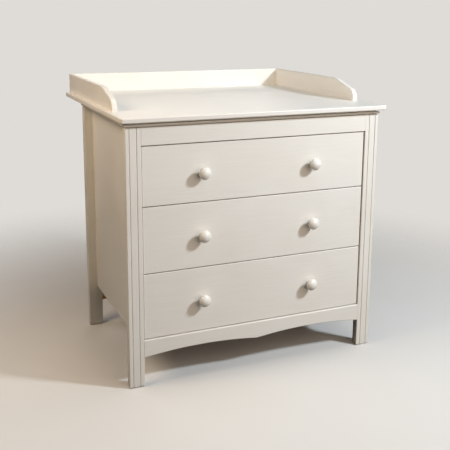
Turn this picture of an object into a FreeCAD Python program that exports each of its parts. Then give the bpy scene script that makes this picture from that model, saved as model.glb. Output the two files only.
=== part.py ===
import FreeCAD, Part
import os
import Sketcher

# Changing table: a painted wooden chest of three drawers under a deeper changing board with three guards.
# Millimetres, +Z up, the front faces -Y. The origin is on the floor, under the middle of the whole outline.
# Expressions below are written in words: $word stands for the cell of that name in the sheet "Sizes".

SIZES = (
    ("front_face", -369.3, "y of the front faces of the posts"),
    ("body_width", 900, "chest over the outer faces of the posts"),
    ("body_depth", 570, "chest over the posts, front to back"),
    ("body_top", 846, "underside of the chest's own top"),
    ("leg_width", 50, "post across the front"),
    ("leg_thick", 26, "post front to back"),
    ("groove_outer", 12, "first groove, from the post's outer edge"),
    ("groove_inner", 35, "second groove, from the post's outer edge"),
    ("groove_width", 3.6, "groove at the face"),
    ("groove_depth", 2.2, "groove into the post"),
    ("ease", 1.6, "rounding of the long edges"),
    ("panel_inset", 32, "side panel behind the posts' outer faces"),
    ("panel_thick", 16, "side panel"),
    ("panel_bottom", 156, "lower edge of the side panels"),
    ("rail_thick", 20, "rails and apron"),
    ("rail_height", 56, "upper rails"),
    ("apron_top", 158, "upper edge of the apron"),
    ("apron_foot", 99, "apron's ends and centre point"),
    ("arch_rise", 13, "height of each of the apron's two arches"),
    ("arch_point", 30, "rounding of the point where the two arches meet"),
    ("back_thick", 5, "back panel"),
    ("top_thick", 17, "chest's own top, over its bead and both quirks"),
    ("bead_overhang", 3, "bead of the chest's own top past the posts, front and sides"),
    ("bead_round", 2.4, "rounded edges of the bead"),
    ("quirk_depth", 11, "quirks over and under the bead, behind the posts' faces"),
    ("quirk_low", 3.4, "quirk under the bead"),
    ("quirk_high", 6.5, "quirk between the bead and the changing board"),
    ("board_thick", 16, "changing board"),
    ("board_side", 18, "changing board past the posts, each side"),
    ("board_front", 24, "changing board past the posts, front"),
    ("board_rear", 199.5, "changing board past the posts, back"),
    ("board_corner", 7, "changing board's corners in plan"),
    ("board_edge", 3.5, "changing board's rounded edges"),
    ("guard_thick", 18, "guards"),
    ("guard_height", 70, "guards over the changing board"),
    ("guard_inset", 16, "guards in from the board's sides"),
    ("guard_setback", 3, "guards in from the board's back edge"),
    ("guard_nose", 161, "side guards' noses behind the board's front edge"),
    ("nose_radius", 38, "rounding of a side guard's nose"),
    ("nose_foot", 5, "upright part under the nose"),
    ("guard_slope", 16, "fall of a side guard towards its nose, degrees"),
    ("crest_radius", 110, "easing where the fall begins"),
    ("guard_edge", 3, "rounded edges of the guards"),
    ("drawer_recess", 5, "drawer fronts behind the posts' faces"),
    ("drawer_gap", 3, "gap between drawer fronts"),
    ("side_gap", 2.5, "gap beside drawer fronts"),
    ("front_thick", 20, "drawer front"),
    ("front_height", 215, "middle and bottom drawer fronts"),
    ("front_height_top", 190, "top drawer front"),
    ("slide_thick", 12.5, "room for one slide"),
    ("slide_play", 3.5, "slide member clear of its track"),
    ("slide_metal", 1.2, "sheet of the slides"),
    ("slide_length", 480, "slides"),
    ("slide_start", 4, "slides behind the drawer front"),
    ("slide_rise", 90, "slides over a drawer front's lower edge"),
    ("track_height", 36, "track on the side panel"),
    ("member_height", 26, "member on the drawer"),
    ("box_depth", 500, "drawer box behind its front"),
    ("box_wood", 12, "drawer box sides and back"),
    ("box_lift", 15, "drawer box over the front's lower edge"),
    ("box_drop", 45, "front height less drawer box height"),
    ("bottom_lift", 10, "drawer bottom over the sides' lower edges"),
    ("bottom_thick", 5, "drawer bottom"),
    ("bottom_groove", 6, "groove that holds the drawer bottom"),
    ("play", 0.15, "room round a bottom, dowel, pin or screw"),
    ("knob_reach", 198, "knobs from the drawer's middle"),
    ("knob_base", 10, "knob's foot, radius"),
    ("knob_neck", 7.5, "knob's neck, radius"),
    ("knob_neck_at", 9, "knob's neck from the drawer front"),
    ("knob_rim_centre", 13.5, "centre line of the knob's rounded rim, radius"),
    ("knob_rim", 6.5, "rounding of the rim"),
    ("knob_rim_at", 23, "rim from the drawer front"),
    ("knob_dome", 24, "radius of the knob's face"),
    ("knob_back", 40, "where the neck's flare meets the rim, degrees"),
    ("dowel_radius", 4, "frame dowels"),
    ("dowel_half", 18, "dowel in each piece"),
    ("glide_radius", 11, "floor glide"),
    ("glide_height", 3, "floor glide"),
    ("pin_radius", 1.2, "nail of a floor glide"),
    ("pin_length", 14, "nail of a floor glide"),
    ("screw_radius", 2, "wood screw"),
    ("head_radius", 4, "wood screw head"),
    ("head_height", 2.4, "wood screw head"),
    ("guard_screw", 40, "guard screws, whole length"),
    ("board_screw", 25, "board screws under the head"),
    ("small_radius", 1.5, "small screw"),
    ("small_head", 3.4, "small screw head, radius"),
    ("small_head_height", 1.5, "small screw head"),
    ("small_screw", 13, "small screw under the head"),
    ("knob_screw", 35, "knob screw under the head"),
)

# Places worked out from the sizes, used by several pieces.
FRONT_X = "($body_width/2-$leg_width)"
OUTER_X = "($body_width/2)"
PANEL_X = "($body_width/2-$panel_inset-$panel_thick)"
BACK_FACE = "($front_face+$body_depth)"
RAIL_BOTTOM = "($body_top-$rail_height)"
BOARD_BOTTOM = "($body_top+$top_thick)"
BOARD_TOP = "($body_top+$top_thick+$board_thick)"
BOARD_FRONT = "($front_face-$board_front)"
BOARD_BACK = "($front_face+$body_depth+$board_rear)"
BOARD_X = "($body_width/2+$board_side)"
GUARD_BACK = "($front_face+$body_depth+$board_rear-$guard_setback)"
GUARD_X = "($body_width/2+$board_side-$guard_inset)"
DRAWER_FACE = "($front_face+$drawer_recess)"
DRAWER_BACK = "($front_face+$drawer_recess+$front_thick)"
SIDE_X = "($body_width/2-$panel_inset-$panel_thick-$slide_thick)"

SIDES = (("left", "-"), ("right", ""))
DRAWERS = (
    ("bottom", "$front_height", "($apron_top+$drawer_gap)"),
    ("middle", "$front_height", "($apron_top+2*$drawer_gap+$front_height)"),
    ("top", "$front_height_top", "($apron_top+3*$drawer_gap+2*$front_height)"),
)

X, Y, Z = FreeCAD.Vector(1, 0, 0), FreeCAD.Vector(0, 1, 0), FreeCAD.Vector(0, 0, 1)
LEVEL = FreeCAD.Rotation()
NEAR = 0.01

doc = FreeCAD.newDocument("ChangingTable")
sheet = doc.addObject("Spreadsheet::Sheet", "Sizes")
for row, (alias, amount, meaning) in enumerate(SIZES, start=1):
    sheet.set(f"A{row}", alias)
    sheet.set(f"B{row}", str(amount))
    sheet.set(f"C{row}", meaning)
    sheet.setAlias(f"B{row}", alias)
doc.recompute()

pieces = []


# ---------------------------------------------------------------- helpers

def number(words):
    """The value of an expression in words."""
    return float(sheet.evalExpression(words.replace("$", "")))


def bind(item, prop, words):
    item.setExpression(prop, words.replace("$", "Sizes."))


def place(item, spot, turn=LEVEL):
    item.Placement = FreeCAD.Placement(FreeCAD.Vector(0, 0, 0), turn)
    for axis, words in zip("xyz", spot):
        bind(item, f"Placement.Base.{axis}", words)
    return item


def keep(item, name):
    """Marks an object as a finished piece of the furniture."""
    item.Label = name
    pieces.append(item)
    return item


def box(name, corner, extent):
    item = doc.addObject("Part::Box", name)
    for prop, words in zip(("Length", "Width", "Height"), extent):
        bind(item, prop, words)
    return place(item, corner)


def rod(name, foot, along, radius, length):
    """A cylinder from foot along a direction."""
    item = doc.addObject("Part::Cylinder", name)
    bind(item, "Radius", radius)
    bind(item, "Height", length)
    return place(item, foot, FreeCAD.Rotation(Z, along))


def joined(name, items):
    item = doc.addObject("Part::MultiFuse", name)
    item.Shapes = items
    return item


def group(name, items):
    """Separate solids that share one node."""
    item = doc.addObject("Part::Compound", name)
    item.Links = items
    return item


def cut(name, blank, tools):
    """The finished piece: its blank less every tool."""
    for count, tool in enumerate(tools, start=1):
        item = doc.addObject("Part::Cut", f"{name}_cut_{count}")
        item.Base = blank
        item.Tool = tool
        blank = item
    return keep(blank, name)


def shifted(spot, axis, words):
    """The spot moved along one axis by an amount in words."""
    return tuple(f"{at}+{words}" if n == axis else at for n, at in enumerate(spot))


def arc_middle(start, end, radius, side):
    """Middle point of the minor arc from start to end that bulges to the left (1) or right (-1)."""
    half = (end - start) * 0.5
    outward = FreeCAD.Vector(-half.y, half.x, 0).normalize() * side
    rise = radius - (radius ** 2 - half.Length ** 2) ** 0.5
    return start + half + outward * rise


def sketch_on(body, role, corners, arcs):
    """A closed outline. corners are pairs in words; arcs[n] is (radius, side) for the stretch from corner n."""
    plane = next(f for f in body.Origin.OriginFeatures if f.Role == role)
    sketch = body.newObject("Sketcher::SketchObject", "Outline")
    sketch.AttachmentSupport = [(plane, "")]
    sketch.MapMode = "FlatFace"
    points = [FreeCAD.Vector(number(a), number(b), 0) for a, b in corners]
    count = len(points)
    ends = []
    for n, start in enumerate(points):
        end = points[(n + 1) % count]
        if n in arcs:
            radius, side = arcs[n]
            middle = arc_middle(start, end, number(radius), side)
            edge = sketch.addGeometry(Part.Arc(start, middle, end))
            forward = sketch.getPoint(edge, 1).distanceToPoint(start) < NEAR
            ends.append((edge, 1, 2) if forward else (edge, 2, 1))
            rule = sketch.addConstraint(Sketcher.Constraint("Radius", edge, number(radius)))
            bind(sketch, f"Constraints[{rule}]", radius)
        else:
            edge = sketch.addGeometry(Part.LineSegment(start, end))
            ends.append((edge, 1, 2))
    for n, (edge, first, last) in enumerate(ends):
        after = ends[(n + 1) % count]
        sketch.addConstraint(Sketcher.Constraint("Coincident", edge, last, after[0], after[1]))
        for kind, axis, words in (("DistanceX", -2, corners[n][0]), ("DistanceY", -1, corners[n][1])):
            if words == "0":
                sketch.addConstraint(Sketcher.Constraint("PointOnObject", edge, first, axis))
            else:
                rule = sketch.addConstraint(Sketcher.Constraint(kind, edge, first, number(words)))
                bind(sketch, f"Constraints[{rule}]", words)
    return sketch


def prism(name, role, corners, length, arcs=None, spot=("0", "0", "0"), backwards=False):
    """A body padded from an outline on one of its own planes."""
    body = doc.addObject("PartDesign::Body", name + "_body")
    pad = body.newObject("PartDesign::Pad", "Pad")
    pad.Profile = sketch_on(body, role, corners, arcs or {})
    bind(pad, "Length", length)
    pad.Reversed = backwards
    body.Tip = pad
    place(body, spot)
    doc.recompute()
    return body


def rectangle(low, high):
    return ((low[0], low[1]), (high[0], low[1]), (high[0], high[1]), (low[0], high[1]))


def rounded(body, radius, wanted, feature="Fillet", prop="Radius"):
    """Eases the body's edges for which wanted(edge, box of the corners) is true."""
    base = body.Tip
    frame = FreeCAD.BoundBox()
    for corner in base.Shape.Vertexes:
        frame.add(corner.Point)
    names = [f"Edge{n}" for n, edge in enumerate(base.Shape.Edges, start=1) if wanted(edge, frame)]
    easing = body.newObject("PartDesign::" + feature, feature)
    easing.Base = (base, names)
    bind(easing, prop, radius)
    body.Tip = easing
    doc.recompute()
    return body


def lies_at(edge, axis, level):
    """True where the whole edge has one coordinate at a level."""
    return all(abs(getattr(v.Point, axis) - level) < NEAR for v in edge.Vertexes)


def runs_along(edge, axis):
    ends = [v.Point for v in edge.Vertexes]
    return len(ends) == 2 and abs(getattr((ends[1] - ends[0]).normalize(), axis)) > 1 - NEAR


def upright(edge, frame):
    """The four upright corner edges."""
    at_side = lies_at(edge, "x", frame.XMin) or lies_at(edge, "x", frame.XMax)
    at_end = lies_at(edge, "y", frame.YMin) or lies_at(edge, "y", frame.YMax)
    return runs_along(edge, "z") and at_side and at_end


def around_front(edge, frame):
    """The edges round the front face."""
    return lies_at(edge, "y", frame.YMin)


def round_top_and_bottom(edge, frame):
    return lies_at(edge, "z", frame.ZMin) or lies_at(edge, "z", frame.ZMax)


def screws(name, places, along, size, hole=False):
    """One wood or machine screw per place, head at the place. size is in words; hole makes the cutters."""
    radius, head, head_height, length, sunk = size
    grow = "+$play" if hole else ""
    items = []
    for count, spot in enumerate(places, start=1):
        shank = rod(f"{name}_shank_{count}", spot, along, radius + grow, length + grow)
        if sunk:
            top = doc.addObject("Part::Cone", f"{name}_head_{count}")
            bind(top, "Radius1", head + grow)
            bind(top, "Radius2", radius + grow)
            bind(top, "Height", head_height)
            place(top, spot, FreeCAD.Rotation(Z, along))
        else:
            top = rod(f"{name}_head_{count}", spot, along * -1, head, head_height)
        items.append(shank if hole and not sunk else joined(f"{name}_{count}", [shank, top]))
    return group(name, items)


# ---------------------------------------------------------------- dowels, glides and screws

WOOD_SCREW = ("$screw_radius", "$head_radius", "$head_height")
SMALL_SCREW = ("$small_radius", "$small_head", "$small_head_height", "$small_screw", False)


def dowel_places():
    """Foot and direction of every dowel: rails and apron into the posts, panels into the posts."""
    spots = []
    front_mid = "$front_face+$rail_thick/2"
    back_mid = BACK_FACE + "-$back_thick-1-$rail_thick/2"
    apron_high = "($apron_top-$apron_foot)"
    for sign in ("-", ""):
        for middle in (front_mid, back_mid):
            for low, tall in ((RAIL_BOTTOM, "$rail_height"), ("$apron_foot", apron_high)):
                for part in ("/4", "*3/4"):
                    at = f"{sign}{FRONT_X}-$dowel_half"
                    spots.append(((at, middle, low + "+" + tall + part), X))
        for joint in ("$front_face+$leg_thick", BACK_FACE + "-$leg_thick"):
            for share in ("/8", "/2", "*7/8"):
                level = "$panel_bottom+(" + RAIL_BOTTOM + "-$panel_bottom)" + share
                spots.append(((f"{sign}({PANEL_X}+$panel_thick/2)", joint + "-$dowel_half", level), Y))
    return spots


def dowels(name, grow):
    items = []
    for count, (foot, along) in enumerate(dowel_places(), start=1):
        axis = 0 if along == X else 1
        foot = shifted(foot, axis, "(0-" + grow + ")")
        items.append(rod(f"{name}_{count}", foot, along, "$dowel_radius+" + grow, "2*($dowel_half+" + grow + ")"))
    return group(name, items)


keep(dowels("frame_dowels", "0"), "frame_dowels")
dowel_holes = dowels("dowel_holes", "$play")

leg_spots = []
for sign in ("-", ""):
    across = f"{sign}({OUTER_X}-$leg_width/2)"
    leg_spots.append((across, "$front_face+$leg_thick/2", "0"))
    leg_spots.append((across, BACK_FACE + "-$leg_thick/2", "0"))
glides = []
pin_holes = []
for count, spot in enumerate(leg_spots, start=1):
    disc = rod(f"glide_disc_{count}", spot, Z, "$glide_radius", "$glide_height")
    nail = rod(f"glide_nail_{count}", spot, Z, "$pin_radius", "$glide_height+$pin_length")
    glides.append(joined(f"glide_{count}", [disc, nail]))
    pin_holes.append(rod(f"pin_hole_{count}", spot, Z, "$pin_radius+$play", "$glide_height+$pin_length+$play"))
keep(group("floor_glides", glides), "floor_glides")
pin_cutters = group("pin_holes", pin_holes)

guard_spots = []
for sign in ("-", ""):
    for back in ("$guard_nose+45", "$guard_nose+290", "$guard_nose+560"):
        guard_spots.append((f"{sign}({GUARD_X}-$guard_thick/2)", BOARD_FRONT + "+" + back, BOARD_BOTTOM))
for across in ("0-300", "0", "300"):
    guard_spots.append((across, GUARD_BACK + "-$guard_thick/2", BOARD_BOTTOM))
guard_screw = WOOD_SCREW + ("$guard_screw", True)
keep(screws("guard_screws", guard_spots, Z, guard_screw), "guard_screws")
guard_holes = screws("guard_screw_holes", guard_spots, Z, guard_screw, hole=True)

board_spots = []
for across in ("0-300", "0", "300"):
    for back in ("80", "480"):
        board_spots.append((across, "$front_face+" + back, "$body_top"))
board_screw = WOOD_SCREW + ("$board_screw", False)
keep(screws("board_screws", board_spots, Z, board_screw), "board_screws")
board_holes = screws("board_screw_holes", board_spots, Z, board_screw, hole=True)

back_spots = []
for across in ("0-360", "0-120", "120", "360"):
    for level in (RAIL_BOTTOM + "+$rail_height/2", "($apron_foot+$apron_top)/2"):
        back_spots.append((across, BACK_FACE + "-1", level))
keep(screws("back_panel_screws", back_spots, Y * -1, SMALL_SCREW), "back_panel_screws")
back_holes = screws("back_screw_holes", back_spots, Y * -1, SMALL_SCREW, hole=True)


def track_screws(side, sign, hole=False):
    """Three screws through each track's web into the side panel."""
    spots = []
    for _, _, base in DRAWERS:
        for along in ("0.1", "0.5", "0.9"):
            across = f"{sign}({PANEL_X}-$slide_metal)"
            back = DRAWER_BACK + "+$slide_start+$slide_length*" + along
            spots.append((across, back, base + "+$slide_rise"))
    kind = "hole" if hole else "screw"
    inward = X * -1 if sign else X
    return screws(f"track_{kind}s_{side}", spots, inward, SMALL_SCREW, hole)


keep(group("track_screws", [track_screws(side, sign) for side, sign in SIDES]), "track_screws")
track_holes = {side: track_screws(side, sign, hole=True) for side, sign in SIDES}


# ---------------------------------------------------------------- posts and panels

def post(name, sign, grooved, back):
    """A flat post. Its section is drawn from the outer edge inwards; a front post has two grooves."""
    corners = [("0", "0")]
    if grooved:
        for middle in ("$groove_outer", "$groove_inner"):
            for offset, depth in (("-$groove_width/2", "0"), ("", "$groove_depth"), ("+$groove_width/2", "0")):
                corners.append((sign + "(0-(" + middle + offset + "))", depth))
    inner = sign + "(0-$leg_width)"
    corners += [(inner, "0"), (inner, "$leg_thick"), ("0", "$leg_thick")]
    length = "$body_top-$glide_height"
    body = prism(name, "XY_Plane", corners, length, spot=(sign + OUTER_X, back, "$glide_height"))
    rounded(body, "$ease", upright)
    return cut(name, body, [dowel_holes, pin_cutters])


def side_panel(side, sign):
    low_x = "-" + OUTER_X + "+$panel_inset" if sign else PANEL_X
    length = "$body_depth-2*$leg_thick"
    corner = (low_x, "$front_face+$leg_thick", "$panel_bottom")
    blank = box(f"panel_blank_{side}", corner, ("$panel_thick", length, "$body_top-$panel_bottom"))
    return cut(f"side_panel_{side}", blank, [dowel_holes, track_holes[side]])


for side, sign in SIDES:
    post(f"front_leg_{side}", sign, True, "$front_face")
    post(f"back_leg_{side}", sign, False, BACK_FACE + "-$leg_thick")
    side_panel(side, sign)


# ---------------------------------------------------------------- rails, apron and back

def face_edges(edge, frame):
    """The long edges of a front rail, which show beside the drawers."""
    return lies_at(edge, "y", frame.YMin) and not runs_along(edge, "z")


def middle_edge(edge, frame):
    """The edge under the point of the apron."""
    return lies_at(edge, "x", 0)


rail_ends = rectangle(("-" + FRONT_X, RAIL_BOTTOM), (FRONT_X, "$body_top"))
rail = prism("top_rail", "XZ_Plane", rail_ends, "$rail_thick", spot=("0", "$front_face", "0"), backwards=True)
cut("top_rail", rounded(rail, "$ease", face_edges), [dowel_holes])

arch = "((" + FRONT_X + "/2)^2+$arch_rise^2)/(2*$arch_rise)"
apron_corners = (
    ("-" + FRONT_X, "$apron_foot"),
    ("0", "$apron_foot"),
    (FRONT_X, "$apron_foot"),
    (FRONT_X, "$apron_top"),
    ("-" + FRONT_X, "$apron_top"),
)
apron = prism("apron", "XZ_Plane", apron_corners, "$rail_thick", arcs={0: (arch, 1), 1: (arch, 1)},
              spot=("0", "$front_face", "0"), backwards=True)
rounded(apron, "$arch_point", middle_edge)
cut("apron", rounded(apron, "$ease", face_edges, "Chamfer", "Size"), [dowel_holes])

back_rail_y = BACK_FACE + "-$back_thick-1-$rail_thick"
for name, low, high in (("upper", RAIL_BOTTOM, "$body_top"), ("lower", "$apron_foot", "$apron_top")):
    blank = box(f"back_rail_{name}_blank", ("-" + FRONT_X, back_rail_y, low),
                ("2*" + FRONT_X, "$rail_thick", high + "-" + low))
    cut(f"back_rail_{name}", blank, [dowel_holes, back_holes])

back_corner = ("-" + FRONT_X, BACK_FACE + "-$back_thick-1", "$apron_foot")
back_blank = box("back_blank", back_corner, ("2*" + FRONT_X, "$back_thick", "$body_top-$apron_foot"))
cut("back_panel", back_blank, [back_holes])


# ---------------------------------------------------------------- tops and guards

def bead_edges(edge, frame):
    """The front and side edges of the bead."""
    on_rim = round_top_and_bottom(edge, frame)
    return on_rim and not lies_at(edge, "y", frame.YMax)


neck_x = "(" + OUTER_X + "-$quirk_depth)"
neck = box("chest_top_neck", ("-" + neck_x, "$front_face+$quirk_depth", "$body_top"),
           ("2*" + neck_x, "$body_depth-$quirk_depth", "$top_thick"))
bead_x = "(" + OUTER_X + "+$bead_overhang)"
bead_plan = rectangle(("-" + bead_x, "$front_face-$bead_overhang"), (bead_x, BACK_FACE))
bead = prism("bead", "XY_Plane", bead_plan, "$top_thick-$quirk_low-$quirk_high",
             spot=("0", "0", "$body_top+$quirk_low"))
chest_top = joined("chest_top_blank", [neck, rounded(bead, "$bead_round", bead_edges)])
cut("chest_top", chest_top, [board_holes])

board_plan = rectangle(("-" + BOARD_X, BOARD_FRONT), (BOARD_X, BOARD_BACK))
board = prism("changing_board", "XY_Plane", board_plan, "$board_thick", spot=("0", "0", BOARD_BOTTOM))
rounded(board, "$board_corner", upright)
rounded(board, "$board_edge", round_top_and_bottom)
cut("changing_board", board, [guard_holes, board_holes])

# The outline of a side guard, from its nose at the origin: up, round the nose, up the slope, along the crest.
slope = "($guard_slope*1deg)"
brow = ("$nose_radius*(1-sin" + slope + ")", "$nose_foot+$nose_radius*cos" + slope)
crest_half = "$crest_radius*tan(" + slope + "/2)"
crest = "(" + brow[0] + "+($guard_height-(" + brow[1] + "))/tan" + slope + ")"
guard_length = BOARD_BACK + "-" + BOARD_FRONT + "-$guard_nose-$guard_setback"
guard_corners = (
    ("0", "0"),
    (guard_length, "0"),
    (guard_length, "$guard_height"),
    (crest + "+" + crest_half, "$guard_height"),
    (crest + "-" + crest_half + "*cos" + slope, "$guard_height-" + crest_half + "*sin" + slope),
    brow,
    ("0", "$nose_foot"),
)


def guard_rim(edge, frame):
    """Both faces' edges along the top and round the nose."""
    return not lies_at(edge, "z", frame.ZMin) and not lies_at(edge, "y", frame.YMax) and not runs_along(edge, "x")


for side, sign in SIDES:
    low_x = "-" + GUARD_X if sign else GUARD_X + "-$guard_thick"
    guard = prism(f"guard_{side}", "YZ_Plane", guard_corners, "$guard_thick",
                  arcs={3: ("$crest_radius", -1), 5: ("$nose_radius", -1)},
                  spot=(low_x, BOARD_FRONT + "+$guard_nose", BOARD_TOP))
    cut(f"guard_{side}", rounded(guard, "$guard_edge", guard_rim), [guard_holes])


def long_top(edge, frame):
    return lies_at(edge, "z", frame.ZMax) and runs_along(edge, "x")


inner_x = "(" + GUARD_X + "-$guard_thick)"
back_guard_face = rectangle(("-" + inner_x, "0"), (inner_x, "$guard_height"))
back_guard = prism("guard_back", "XZ_Plane", back_guard_face, "$guard_thick",
                   spot=("0", GUARD_BACK, BOARD_TOP))
cut("guard_back", rounded(back_guard, "$guard_edge", long_top), [guard_holes])


# ---------------------------------------------------------------- slides

def channel(name, wall, sign, height, reach, start, level):
    """A sheet channel along Y. wall is the outside of its web; reach, with its sign, is how far it opens."""
    inside = f"({height}/2-$slide_metal)"
    web = f"{wall}+{sign}$slide_metal"
    tip = f"{wall}+{sign}{reach}"
    corners = (
        (wall, f"-{height}/2"),
        (tip, f"-{height}/2"),
        (tip, f"-{inside}"),
        (web, f"-{inside}"),
        (web, inside),
        (tip, inside),
        (tip, f"{height}/2"),
        (wall, f"{height}/2"),
    )
    return prism(name, "XZ_Plane", corners, "$slide_length", spot=("0", start, level), backwards=True)


slide_start = DRAWER_BACK + "+$slide_start"
for drawer, _, base in DRAWERS:
    for side, sign in SIDES:
        level = base + "+$slide_rise"
        inward = "" if sign else "-"
        outward = "-" if sign else ""
        track = channel(f"track_{drawer}_{side}", sign + PANEL_X, inward, "$track_height",
                        "($slide_thick-2*$slide_metal)", slide_start, level)
        cut(f"track_{drawer}_{side}", track, [track_holes[side]])
        member = channel(f"{drawer}_drawer_slide_{side}", sign + SIDE_X, outward, "$member_height",
                         "($slide_thick-$slide_play)", slide_start, level)
        keep(member, f"{drawer}_drawer_slide_{side}")


# ---------------------------------------------------------------- drawers

def knob(name, spot):
    """A turned knob, revolved round an axis that points out of the drawer front."""
    body = doc.addObject("PartDesign::Body", name + "_body")
    lean = "($knob_rim_centre/($knob_dome-$knob_rim))"
    upright_part = "sqrt(1-" + lean + "^2)"
    dome_edge = "$knob_rim_at+$knob_rim*" + upright_part
    back = ("$knob_rim_centre+$knob_rim*sin($knob_back*1deg)", "$knob_rim_at-$knob_rim*cos($knob_back*1deg)")
    front = "-(" + dome_edge + "+$knob_dome*(1-" + upright_part + "))"
    corners = (
        ("0", "0"),
        ("$knob_base", "0"),
        ("$knob_neck", "-$knob_neck_at"),
        (back[0], "-(" + back[1] + ")"),
        ("$knob_dome*" + lean, "-(" + dome_edge + ")"),
        ("0", front),
    )
    arcs = {1: ("$knob_neck_at*1.2", -1), 2: ("$knob_rim*2", -1), 3: ("$knob_rim", 1), 4: ("$knob_dome", 1)}
    turn = body.newObject("PartDesign::Revolution", "Turning")
    sketch = sketch_on(body, "XY_Plane", corners, arcs)
    turn.Profile = sketch
    turn.ReferenceAxis = (sketch, ["V_Axis"])
    turn.Angle = 360
    body.Tip = turn
    return place(body, spot)


def drawer(name, height, base):
    """Front, box, bottom and two knobs of one drawer."""
    box_base = base + "+$box_lift"
    box_height = f"({height}-$box_drop)"
    floor = box_base + "+$bottom_lift"
    side_high = SIDE_X + "-$box_wood"
    floor_x = f"({side_high}+$bottom_groove)"
    floor_y = DRAWER_BACK + "-$bottom_groove"
    floor_depth = "$box_depth+$bottom_groove-1"

    floor_size = ("2*" + floor_x, floor_depth, "$bottom_thick")
    keep(box(f"{name}_bottom", ("-" + floor_x, floor_y, floor), floor_size), f"{name}_bottom")
    room_corner = (f"-{floor_x}-$play", floor_y + "-$play", floor + "-$play")
    room = box(f"{name}_bottom_room", room_corner, [words + "+2*$play" for words in floor_size])

    middle = f"{base}+{height}/2"
    knob_spots = [(sign + "$knob_reach", DRAWER_FACE, middle) for _, sign in SIDES]
    screw_spots = [(across, DRAWER_BACK, level) for across, _, level in knob_spots]
    size = WOOD_SCREW + ("$knob_screw", False)
    keep(screws(f"{name}_knob_screws", screw_spots, Y * -1, size), f"{name}_knob_screws")
    holes = screws(f"{name}_knob_holes", screw_spots, Y * -1, size, hole=True)

    front_x = f"({FRONT_X}-$side_gap)"
    face = rectangle(("-" + front_x, "0"), (front_x, height))
    front = prism(f"{name}_front", "XZ_Plane", face, "$front_thick", spot=("0", DRAWER_FACE, base), backwards=True)
    cut(f"{name}_front", rounded(front, "$ease", around_front), [room, holes])
    for (side, sign), spot in zip(SIDES, knob_spots):
        cut(f"{name}_knob_{side}", knob(f"{name}_knob_{side}", spot), [holes])
        low_x = "-" + SIDE_X if sign else side_high
        blank = box(f"{name}_side_blank_{side}", (low_x, DRAWER_BACK, box_base),
                    ("$box_wood", "$box_depth", box_height))
        cut(f"{name}_side_{side}", blank, [room])
    back_corner = ("-(" + side_high + ")", DRAWER_BACK + "+$box_depth-$box_wood", floor + "+$bottom_thick")
    back_size = (f"2*({side_high})", "$box_wood", f"{box_height}-$bottom_lift-$bottom_thick")
    keep(box(f"{name}_back", back_corner, back_size), f"{name}_back")


for word, height, base in DRAWERS:
    drawer(f"{word}_drawer", height, base)


# ---------------------------------------------------------------- check and export

doc.recompute()
for item in doc.Objects:
    if {"Invalid", "Error"} & set(item.State):
        raise RuntimeError(f"{item.Name} did not build: {item.State}")
os.makedirs("parts", exist_ok=True)
outline = FreeCAD.BoundBox()
for piece in pieces:
    shape = piece.Shape
    if shape.isNull() or not shape.isValid() or not shape.Solids:
        raise RuntimeError(f"{piece.Label} has no valid solid")
    shape.exportStep(f"parts/{piece.Label}.step")
    outline.add(shape.optimalBoundingBox(False))
print(f"{len(pieces)} pieces, {outline.XLength:.1f} x {outline.YLength:.1f} x {outline.ZLength:.1f} mm")
print(f"y from {outline.YMin:.1f} to {outline.YMax:.1f}")
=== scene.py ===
# %% [markdown]
# # A cream changing table
# The joinery of this chest is already modelled at its full size: posts, panels, rails, three drawers on metal
# slides, and a deep board with three guards on top. This lesson gives each piece the surface it has in a
# nursery, then sets up a small studio round it. Everything is in metres, with the floor at z = 0 and the
# drawers opening towards -Y.

# %% Load the joinery
import math

import bmesh
import bpy
from mathutils import Matrix, Vector


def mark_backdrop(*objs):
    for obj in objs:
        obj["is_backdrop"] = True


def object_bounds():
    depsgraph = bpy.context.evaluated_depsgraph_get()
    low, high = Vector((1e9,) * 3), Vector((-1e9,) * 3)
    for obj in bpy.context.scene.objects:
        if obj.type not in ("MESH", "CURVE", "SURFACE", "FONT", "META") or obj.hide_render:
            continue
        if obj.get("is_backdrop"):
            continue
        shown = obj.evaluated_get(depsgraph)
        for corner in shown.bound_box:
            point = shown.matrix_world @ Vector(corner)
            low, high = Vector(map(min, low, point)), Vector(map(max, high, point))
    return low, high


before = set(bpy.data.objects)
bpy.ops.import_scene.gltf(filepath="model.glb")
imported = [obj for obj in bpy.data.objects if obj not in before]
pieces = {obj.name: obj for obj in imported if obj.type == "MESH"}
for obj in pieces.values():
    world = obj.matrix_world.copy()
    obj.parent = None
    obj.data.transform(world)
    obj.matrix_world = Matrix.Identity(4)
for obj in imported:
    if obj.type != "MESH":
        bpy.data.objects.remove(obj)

joinery_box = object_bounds()
print(len(pieces), "pieces,", [round(side, 3) for side in joinery_box[1] - joinery_box[0]], "m over all")

# %% [markdown]
# ## Two helpers
# Paint makers and web pages give colours as hex codes in sRGB, the screen's own curve. Cycles adds up light,
# so it wants linear values. One function turns the first into the second.

# %% Colour from a hex code
def paint_chip(code):
    """Linear red, green, blue and alpha of a hex colour."""
    channels = [int(code[i:i + 2], 16) / 255 for i in (1, 3, 5)]
    return [c / 12.92 if c <= 0.04045 else ((c + 0.055) / 1.055) ** 2.4 for c in channels] + [1.0]


print("cream", [round(c, 3) for c in paint_chip("#F0EDE6")])

# %% [markdown]
# A material is a tree of nodes. Each one is a single call: its kind, its inputs (a value, or the output of
# another node to link), and any settings of its own. Sizes of patterns are written in millimetres, because
# that is how one measures them with a ruler, and `per_mm` turns them into a texture's scale. A Mix node lists
# the sockets of each data type one after another, so the ones in use get names here: two colours go in and one
# comes out, or two plain values go in and one comes out. Lacquer, wood and hardboard bend light alike, with an
# index of refraction near 1.5.

# %% One function that adds a node
MM = 0.001
COLOUR_A, COLOUR_B, COLOUR_OUT = 6, 7, 2
VALUE_A, VALUE_B, VALUE_OUT = 2, 3, 0
COMMON_IOR = 1.5


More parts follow.
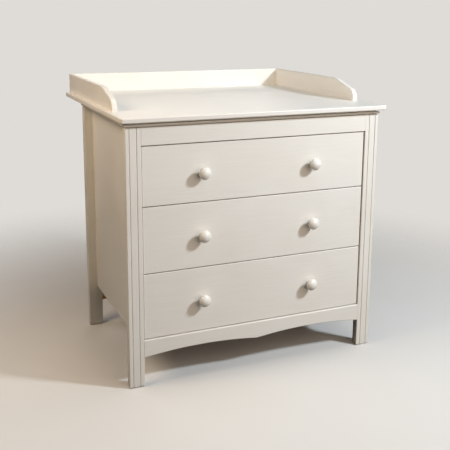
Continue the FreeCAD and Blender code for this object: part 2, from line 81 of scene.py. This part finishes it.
def add(tree, kind, inputs=None, **settings):
    """Adds a node and gives it its settings, values and links."""
    made = tree.nodes.new("ShaderNode" + kind)
    for key, value in settings.items():
        setattr(made, key, value)
    for key, value in (inputs or {}).items():
        if isinstance(value, bpy.types.NodeSocket):
            tree.links.new(value, made.inputs[key])
        else:
            made.inputs[key].default_value = value
    return made


def per_mm(size):
    """Texture scale whose features are about this many millimetres across."""
    return 1 / (size * MM)


def new_finish(name):
    """An empty material, its tree, its shader and the position on the piece in metres."""
    finish = bpy.data.materials.new(name)
    finish.use_nodes = True
    tree = finish.node_tree
    shader = tree.nodes["Principled BSDF"]
    place = add(tree, "TexCoord").outputs["Object"]
    return finish, tree, shader, place


print("a 5 mm pattern has scale", per_mm(5))

# %% [markdown]
# Wood grain runs along a board, so its pattern is a noise that has been pulled out in one direction. The
# position is squeezed along the board before it reaches the texture: squeezing the coordinates stretches what
# is drawn on them.

# %% Position stretched along a board
def along_board(tree, place, axis, stretch):
    """The position, with features stretched along one axis."""
    scale = [1.0, 1.0, 1.0]
    scale["XYZ".index(axis)] = 1 / stretch
    return add(tree, "Mapping", {"Vector": place, "Scale": scale}).outputs["Vector"]


# %% [markdown]
# ## Satin lacquer
# The furniture is sprayed with a cream satin lacquer: a few thin coats over sanded wood and board. It could be
# one colour with one roughness, but real lacquer is never that even. Four things show, from large to small:
# the tone drifts a little over a hand's width, the grain underneath telegraphs as faint lines along each
# board, the film has a fine orange peel from the spray gun, and it is thinner and a touch darker where hands
# and cloths rub the edges. The film is a plastic, so its IOR is 1.5 and it isn't metallic.

# %% Cream satin lacquer
CREAM_LIGHT = "#F0EDE6"
CREAM_DEEP = "#EBE6DC"
RUBBED_EDGE = "#DCCFB6"
HAND_WIDTH = 140
# real poplar pores are under a millimetre wide: drawn at 5 mm so that they show at this distance
PORE_WIDTH, PORE_STRETCH = 5, 26
RUB_PATCH = 38
EDGE_ROUND = 1.6
PEEL_WIDTH = 3
FILM_DEPTH = 0.06


def satin_lacquer(axis):
    """Sprayed cream lacquer on a board whose grain runs along an axis."""
    finish, tree, shader, place = new_finish("cream_satin_lacquer_" + axis)
    drift = add(tree, "TexNoise", {"Vector": place, "Scale": per_mm(HAND_WIDTH), "Detail": 2.0})
    tone = add(tree, "Mix", {"Factor": drift.outputs["Fac"], COLOUR_A: paint_chip(CREAM_DEEP),
                             COLOUR_B: paint_chip(CREAM_LIGHT)}, data_type="RGBA")

    grain_place = along_board(tree, place, axis, PORE_STRETCH)
    grain = add(tree, "TexNoise", {"Vector": grain_place, "Scale": per_mm(PORE_WIDTH), "Detail": 3.0,
                                   "Roughness": 0.6})
    lines = add(tree, "MapRange", {"Value": grain.outputs["Fac"], "From Min": 0.30, "From Max": 0.72,
                                   "To Min": 0.972, "To Max": 1.015})
    grained = add(tree, "Mix", {"Factor": 1.0, COLOUR_A: tone.outputs[COLOUR_OUT],
                                COLOUR_B: lines.outputs["Result"]}, data_type="RGBA", blend_type="MULTIPLY")

    soft_edge = add(tree, "Bevel", {"Radius": EDGE_ROUND * MM}, samples=6)
    facing = add(tree, "NewGeometry")
    turn = add(tree, "VectorMath", {0: soft_edge.outputs["Normal"], 1: facing.outputs["Normal"]},
               operation="DOT_PRODUCT")
    rub = add(tree, "MapRange", {"Value": turn.outputs["Value"], "From Min": 0.99, "From Max": 0.80,
                                 "To Min": 0.0, "To Max": 0.75})
    patches = add(tree, "TexNoise", {"Vector": place, "Scale": per_mm(RUB_PATCH), "Detail": 3.0})
    worn = add(tree, "Math", {0: rub.outputs["Result"], 1: patches.outputs["Fac"]}, operation="MULTIPLY")
    rubbed = add(tree, "Mix", {"Factor": worn.outputs[0], COLOUR_A: grained.outputs[COLOUR_OUT],
                               COLOUR_B: paint_chip(RUBBED_EDGE)}, data_type="RGBA")

    peel = add(tree, "TexNoise", {"Vector": place, "Scale": per_mm(PEEL_WIDTH), "Detail": 1.0})
    height = add(tree, "Math", {0: grain.outputs["Fac"], 1: 0.7, 2: peel.outputs["Fac"]},
                 operation="MULTIPLY_ADD")
    film = add(tree, "Bump", {"Height": height.outputs[0], "Distance": FILM_DEPTH * MM, "Strength": 0.6,
                              "Normal": soft_edge.outputs["Normal"]})
    sheen_spread = add(tree, "MapRange", {"Value": drift.outputs["Fac"], "From Min": 0.3, "From Max": 0.7,
                                          "To Min": 0.34, "To Max": 0.46})
    tree.links.new(rubbed.outputs[COLOUR_OUT], shader.inputs["Base Color"])
    tree.links.new(sheen_spread.outputs["Result"], shader.inputs["Roughness"])
    tree.links.new(film.outputs["Normal"], shader.inputs["Normal"])
    shader.inputs["IOR"].default_value = COMMON_IOR
    return finish


LACQUER = {axis: satin_lacquer(axis) for axis in "XYZ"}
print("lacquer for boards along", sorted(LACQUER))

# %% [markdown]
# ## Bare pine
# Nobody paints the inside of a drawer. The drawer boxes and the rails behind are planed pine: pale early wood
# with darker, denser late wood in bands. A board cut flat through the rings shows them as wide uneven bands
# that wander along its length, which a distorted wave gives, with a fine noise for the fibres over it. Planed
# softwood scatters light widely: roughness 0.6 or more.

# %% Planed pine
EARLY_WOOD = "#EBD3A6"
LATE_WOOD = "#BF8D4E"
RING_GAP = 20
RING_STRETCH = 14
# a wave texture of scale 1 repeats every 0.63 m
WAVE_LENGTH = 0.63
# fibres are a fraction of a millimetre: drawn at 3 mm so that they show
FIBRE_WIDTH, FIBRE_STRETCH = 3, 45
GROOVE_DEPTH = 0.15


def planed_pine(axis):
    """Bare pine whose grain runs along an axis."""
    finish, tree, shader, place = new_finish("planed_pine_" + axis)
    board = along_board(tree, place, axis, RING_STRETCH)
    rings = add(tree, "TexWave", {"Vector": board, "Scale": per_mm(RING_GAP) * WAVE_LENGTH, "Distortion": 7.0,
                                  "Detail": 2.0, "Detail Scale": 0.5, "Detail Roughness": 0.6},
                bands_direction="DIAGONAL", wave_profile="SAW")
    fibre_place = along_board(tree, place, axis, FIBRE_STRETCH)
    fibres = add(tree, "TexNoise", {"Vector": fibre_place, "Scale": per_mm(FIBRE_WIDTH), "Detail": 4.0,
                                    "Roughness": 0.65})
    depth = add(tree, "Math", {0: rings.outputs["Fac"], 1: 0.55, 2: 0.05}, operation="MULTIPLY_ADD")
    mixed = add(tree, "Math", {0: fibres.outputs["Fac"], 1: 0.5, 2: depth.outputs[0]},
                operation="MULTIPLY_ADD")
    wood = add(tree, "Mix", {"Factor": mixed.outputs[0], COLOUR_A: paint_chip(EARLY_WOOD),
                             COLOUR_B: paint_chip(LATE_WOOD)}, data_type="RGBA")
    dull = add(tree, "MapRange", {"Value": fibres.outputs["Fac"], "To Min": 0.58, "To Max": 0.76})
    grooves = add(tree, "Bump", {"Height": mixed.outputs[0], "Distance": GROOVE_DEPTH * MM, "Strength": 0.5})
    tree.links.new(wood.outputs[COLOUR_OUT], shader.inputs["Base Color"])
    tree.links.new(dull.outputs["Result"], shader.inputs["Roughness"])
    tree.links.new(grooves.outputs["Normal"], shader.inputs["Normal"])
    shader.inputs["IOR"].default_value = COMMON_IOR
    return finish


PINE = {axis: planed_pine(axis) for axis in "XY"}
print("pine for boards along", sorted(PINE))

# %% [markdown]
# ## Hardboard
# The back and the drawer bottoms are hardboard: wood fibres pressed hot into a thin brown sheet. It has no
# grain. The eye sees short fibres lying every way and a slow cloudiness, on a smooth pressed face that is
# slightly shiny.

# %% Pressed hardboard
FIBRE_DARK = "#8F6A44"
FIBRE_LIGHT = "#B48E62"
CLOUD_WIDTH = 60
# single fibres are about 1 mm long: drawn at 4 mm so that they show
FELT_WIDTH = 4
TOOTH_DEPTH = 0.08


def pressed_hardboard():
    """Brown sheet of pressed fibres."""
    finish, tree, shader, place = new_finish("pressed_hardboard")
    clouds = add(tree, "TexNoise", {"Vector": place, "Scale": per_mm(CLOUD_WIDTH), "Detail": 3.0})
    felt = add(tree, "TexNoise", {"Vector": place, "Scale": per_mm(FELT_WIDTH), "Detail": 5.0,
                                  "Roughness": 0.75, "Distortion": 1.4})
    both = add(tree, "Mix", {"Factor": 0.8, VALUE_A: clouds.outputs["Fac"], VALUE_B: felt.outputs["Fac"]})
    spread = add(tree, "MapRange", {"Value": both.outputs[VALUE_OUT], "From Min": 0.34, "From Max": 0.66})
    brown = add(tree, "Mix", {"Factor": spread.outputs["Result"], COLOUR_A: paint_chip(FIBRE_DARK),
                              COLOUR_B: paint_chip(FIBRE_LIGHT)}, data_type="RGBA")
    gloss = add(tree, "MapRange", {"Value": felt.outputs["Fac"], "To Min": 0.42, "To Max": 0.62})
    tooth = add(tree, "Bump", {"Height": felt.outputs["Fac"], "Distance": TOOTH_DEPTH * MM, "Strength": 0.5})
    tree.links.new(brown.outputs[COLOUR_OUT], shader.inputs["Base Color"])
    tree.links.new(gloss.outputs["Result"], shader.inputs["Roughness"])
    tree.links.new(tooth.outputs["Normal"], shader.inputs["Normal"])
    shader.inputs["IOR"].default_value = COMMON_IOR
    return finish


HARDBOARD = pressed_hardboard()
print("made", HARDBOARD.name)

# %% [markdown]
# ## Zinc-plated steel
# Slides are folded from steel strip and screws are turned from wire, and both are plated with zinc against
# rust. Zinc is a metal, so its colour is that of its reflection and its metallic value is 1. Plating is a bit
# cloudy, and strip that has been through rollers keeps fine lines along its length.

# %% Zinc plate, rolled or plain
ZINC_BRIGHT = "#D3D6D8"
ZINC_DULL = "#A9ADB0"
ZINC_YELLOWED = "#D8CDA8"
ROLLING_STRETCH = 20
PLATE_CLOUD = 4
LINE_DEPTH = 0.02


def zinc_plate(name, bright, dull, stretch):
    """Plated steel whose cloudiness is stretched along Y by the rolling."""
    finish, tree, shader, place = new_finish(name)
    rolled = along_board(tree, place, "Y", stretch)
    clouds = add(tree, "TexNoise", {"Vector": rolled, "Scale": per_mm(PLATE_CLOUD), "Detail": 4.0,
                                    "Roughness": 0.6})
    metal = add(tree, "Mix", {"Factor": clouds.outputs["Fac"], COLOUR_A: paint_chip(dull),
                              COLOUR_B: paint_chip(bright)}, data_type="RGBA")
    blur = add(tree, "MapRange", {"Value": clouds.outputs["Fac"], "From Min": 0.3, "From Max": 0.7,
                                  "To Min": 0.46, "To Max": 0.28})
    lines = add(tree, "Bump", {"Height": clouds.outputs["Fac"], "Distance": LINE_DEPTH * MM, "Strength": 0.5})
    tree.links.new(metal.outputs[COLOUR_OUT], shader.inputs["Base Color"])
    tree.links.new(blur.outputs["Result"], shader.inputs["Roughness"])
    tree.links.new(lines.outputs["Normal"], shader.inputs["Normal"])
    shader.inputs["Metallic"].default_value = 1.0
    return finish


ROLLED_ZINC = zinc_plate("rolled_zinc_strip", ZINC_BRIGHT, ZINC_DULL, ROLLING_STRETCH)
SCREW_ZINC = zinc_plate("yellow_zinc_screws", ZINC_YELLOWED, ZINC_BRIGHT, 1)
print("made", ROLLED_ZINC.name, "and", SCREW_ZINC.name)

# %% [markdown]
# ## Nylon and beech
# Two small materials are left. The floor glides are moulded nylon, a milky plastic that light enters a little
# way, with the fine sandy skin of its mould. The dowels are beech, a hard pale pink-brown wood with short
# dark flecks.

# %% Moulded nylon
NYLON_GREY, NYLON_WHITE = "#D6D2C6", "#F0EEE6"
NYLON_IOR = 1.53
MOULD_GRIT, SCUFF_WIDTH = 1.2, 6
GRIT_DEPTH = 0.03
LIGHT_DEPTH = 1.5


def moulded_nylon():
    """Milky plastic with the sandy skin of its mould."""
    finish, tree, shader, place = new_finish("moulded_nylon")
    skin = add(tree, "TexNoise", {"Vector": place, "Scale": per_mm(MOULD_GRIT), "Detail": 2.0})
    scuffs = add(tree, "TexNoise", {"Vector": place, "Scale": per_mm(SCUFF_WIDTH), "Detail": 4.0})
    milky = add(tree, "Mix", {"Factor": scuffs.outputs["Fac"], COLOUR_A: paint_chip(NYLON_GREY),
                              COLOUR_B: paint_chip(NYLON_WHITE)}, data_type="RGBA")
    matt = add(tree, "MapRange", {"Value": scuffs.outputs["Fac"], "To Min": 0.42, "To Max": 0.66})
    sand = add(tree, "Bump", {"Height": skin.outputs["Fac"], "Distance": GRIT_DEPTH * MM, "Strength": 0.6})
    tree.links.new(milky.outputs[COLOUR_OUT], shader.inputs["Base Color"])
    tree.links.new(matt.outputs["Result"], shader.inputs["Roughness"])
    tree.links.new(sand.outputs["Normal"], shader.inputs["Normal"])
    shader.inputs["IOR"].default_value = NYLON_IOR
    shader.inputs["Subsurface Weight"].default_value = 0.15
    shader.inputs["Subsurface Scale"].default_value = LIGHT_DEPTH * MM
    return finish


NYLON = moulded_nylon()
print("made", NYLON.name)


# %% Beech dowel
BEECH_DARK, BEECH_PALE = "#B98A5E", "#DDB88C"
FLECK_WIDTH, FLECK_STRETCH = 2, 8


def beech_dowel():
    """Turned beech with short dark flecks along X."""
    finish, tree, shader, place = new_finish("beech_dowel")
    rod = along_board(tree, place, "X", FLECK_STRETCH)
    flecks = add(tree, "TexNoise", {"Vector": rod, "Scale": per_mm(FLECK_WIDTH), "Detail": 3.0})
    pale = add(tree, "Mix", {"Factor": flecks.outputs["Fac"], COLOUR_A: paint_chip(BEECH_DARK),
                             COLOUR_B: paint_chip(BEECH_PALE)}, data_type="RGBA")
    dry = add(tree, "MapRange", {"Value": flecks.outputs["Fac"], "To Min": 0.5, "To Max": 0.7})
    tree.links.new(pale.outputs[COLOUR_OUT], shader.inputs["Base Color"])
    tree.links.new(dry.outputs["Result"], shader.inputs["Roughness"])
    shader.inputs["IOR"].default_value = COMMON_IOR
    return finish


BEECH = beech_dowel()
print("made", BEECH.name)

# %% [markdown]
# ## Dress every piece
# The names say what each piece is, so the finish follows from the name. The grain of a board runs along its
# longest side: across the front for rails and drawer fronts, upwards for posts, front to back for the side
# guards.

# %% Which finish goes where
def finish_for(name):
    """The finish of a piece, from its name."""
    if name.endswith("screws"):
        return SCREW_ZINC
    if name.startswith("track_") or "_slide_" in name:
        return ROLLED_ZINC
    if name == "back_panel" or name.endswith("_bottom"):
        return HARDBOARD
    if name == "floor_glides":
        return NYLON
    if name == "frame_dowels":
        return BEECH
    if name.startswith("back_rail") or name.endswith("drawer_back"):
        return PINE["X"]
    if "drawer_side" in name:
        return PINE["Y"]
    if "leg_" in name or "side_panel" in name:
        return LACQUER["Z"]
    if name in ("guard_left", "guard_right") or "_knob_" in name:
        return LACQUER["Y"]
    return LACQUER["X"]


used = {}
for name, piece in pieces.items():
    finish = finish_for(name)
    piece.data.materials.clear()
    piece.data.materials.append(finish)
    used[finish.name] = used.get(finish.name, 0) + 1
print(used)

# %% [markdown]
# ## The studio
# Furniture is usually shown on a wide paper sweep, so that no line appears where the floor ends. Here the floor
# is a large disc that thins out into a pale room: its alpha falls with the distance from the chest.
# Like a dark tiled floor, it gives no light back to the underside of the furniture, which keeps the lower half
# of the chest from looking washed out.

# %% Floor
FLOOR_RADIUS = 2.5
FADE_START, FADE_END = 0.55, 2.1
PAPER_SHADE, PAPER_LIGHT = "#DDDAD4", "#E3E0DB"
PAPER_CLOUD = 700
PAPER_ROUGHNESS = 0.85
RIM_CORNERS = 96


def studio_floor():
    """A disc of pale paper that fades out with its distance from the chest."""
    finish, tree, shader, place = new_finish("pale_paper_sweep")
    cloud = add(tree, "TexNoise", {"Vector": place, "Scale": per_mm(PAPER_CLOUD), "Detail": 3.0})
    pale = add(tree, "Mix", {"Factor": cloud.outputs["Fac"], COLOUR_A: paint_chip(PAPER_SHADE),
                             COLOUR_B: paint_chip(PAPER_LIGHT)}, data_type="RGBA")
    away = add(tree, "VectorMath", {0: place}, operation="LENGTH")
    fade = add(tree, "MapRange", {"Value": away.outputs["Value"], "From Min": FADE_START,
                                  "From Max": FADE_END, "To Min": 1.0, "To Max": 0.0},
               interpolation_type="SMOOTHSTEP")
    tree.links.new(pale.outputs[COLOUR_OUT], shader.inputs["Base Color"])
    tree.links.new(fade.outputs["Result"], shader.inputs["Alpha"])
    shader.inputs["Roughness"].default_value = PAPER_ROUGHNESS
    mesh = bpy.data.meshes.new("studio_floor")
    shape = bmesh.new()
    bmesh.ops.create_circle(shape, cap_ends=True, segments=RIM_CORNERS, radius=FLOOR_RADIUS)
    shape.to_mesh(mesh)
    shape.free()
    mesh.materials.append(finish)
    floor = bpy.data.objects.new("studio_floor", mesh)
    floor.visible_diffuse = False
    bpy.context.scene.collection.objects.link(floor)
    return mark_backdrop(floor)


studio_floor()
print("floor laid")

# %% [markdown]
# The room behind it is a plain pale colour to the camera, but it lights the furniture only faintly: a mix
# between two backgrounds asks whether a ray comes straight from the camera. Almost all light comes from the
# lamps, so that shapes keep their shadows.

# %% Room
AMBIENT = 0.02
ROOM_WARM, ROOM_PALE = "#EFEBE4", "#DFDCD7"


def studio_room():
    """A world that is pale to the camera and dim to everything else."""
    room = bpy.data.worlds.new("studio_room")
    room.use_nodes = True
    tree = room.node_tree
    dim = tree.nodes["Background"]
    dim.inputs["Color"].default_value = paint_chip(ROOM_WARM)
    dim.inputs["Strength"].default_value = AMBIENT
    pale = add(tree, "Background", {"Color": paint_chip(ROOM_PALE), "Strength": 1.0})
    ray = add(tree, "LightPath")
    seen = add(tree, "MixShader", {0: ray.outputs["Is Camera Ray"], 1: dim.outputs[0], 2: pale.outputs[0]})
    tree.links.new(seen.outputs[0], tree.nodes["World Output"].inputs["Surface"])
    return room


bpy.context.scene.world = studio_room()
bpy.context.scene.view_settings.view_transform = "Standard"
print("room colour set")

# %% [markdown]
# A lamp's size sets how soft its shadows are. The main lamp is small and stands high on the right, so each knob
# drops a clear shadow to its lower left. A wide one in front fills what it leaves dark and one overhead lights
# the top. On the shaded left side a dim warm one keeps some colour, and a weaker one behind it stands in for the
# light off a wall. The last one, behind the chest, shows the back.

# %% Lamps
AIM = Vector((0, 0, 0.5))


def soft_lamp(name, spot, size, power, code):
    """A square area lamp that shines at the chest from a place in metres."""
    lamp = bpy.data.lights.new(name, "AREA")
    lamp.size = size
    lamp.energy = power
    lamp.color = paint_chip(code)[:3]
    holder = bpy.data.objects.new(name, lamp)
    holder.location = spot
    holder.rotation_euler = (AIM - holder.location).to_track_quat("-Z", "Y").to_euler()
    bpy.context.scene.collection.objects.link(holder)
    return holder


soft_lamp("key_lamp", (1.60, -1.75, 2.05), 0.30, 60, "#E9F4FF")
soft_lamp("front_fill", (0.70, -3.20, 1.45), 2.8, 49.6, "#FFEEDD")
soft_lamp("overhead_lamp", (0.2, -0.3, 2.3), 1.2, 5.9, "#EBF5FF")
soft_lamp("warm_lamp", (-1.55, -0.36, 1.69), 0.8, 15.7, "#FFE6C5")
soft_lamp("wall_bounce", (-1.5, 0.8, 1.9), 1.0, 6.8, "#F1F2FF")
soft_lamp("back_fill", (0.9, 3.2, 1.1), 2.0, 22, "#FFF8EE")
print("lamps:", [light.name for light in bpy.data.lights])

# %% [markdown]
# ## The camera
# It stands to the left of the chest, 1.2 m up, and looks a little down and to the right, with a lens slightly
# longer than normal. A downward shift of the lens lets the camera tilt less, which keeps the uprights closer to
# parallel, as furniture is usually shown. Three turns aim it: the heading to the right, the tilt down and a
# trace of roll.

# %% Camera
STAND = (-1.0578, -2.5440, 1.1984)
HEADING, TILT, ROLL = math.radians(23.25), math.radians(11.75), math.radians(0.365)
LENS_MM, SENSOR_MM, LENS_SHIFT = 60.64, 36, -0.13

camera_data = bpy.data.cameras.new("camera")
camera_data.lens = LENS_MM
camera_data.sensor_width = SENSOR_MM
camera_data.shift_y = LENS_SHIFT
camera = bpy.data.objects.new("camera", camera_data)
upright = Matrix.Rotation(math.radians(90), 4, "X")
heading = Matrix.Rotation(-HEADING, 4, "Z")
tilt = Matrix.Rotation(-TILT, 4, "X")
roll = Matrix.Rotation(ROLL, 4, "Z")
camera.matrix_world = Matrix.Translation(STAND) @ heading @ upright @ tilt @ roll
bpy.context.scene.collection.objects.link(camera)
bpy.context.scene.camera = camera
print("camera", [round(c, 3) for c in camera.location])

# %% [markdown]
# ## Check the size
# Dressing must not change the size of the furniture, so the box round everything is measured again and both
# boxes are kept side by side.

# %% Sizes before and after
dressed_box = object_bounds()
growth = (dressed_box[1] - dressed_box[0]) - (joinery_box[1] - joinery_box[0])
print("grew by", [round(side, 5) for side in growth])
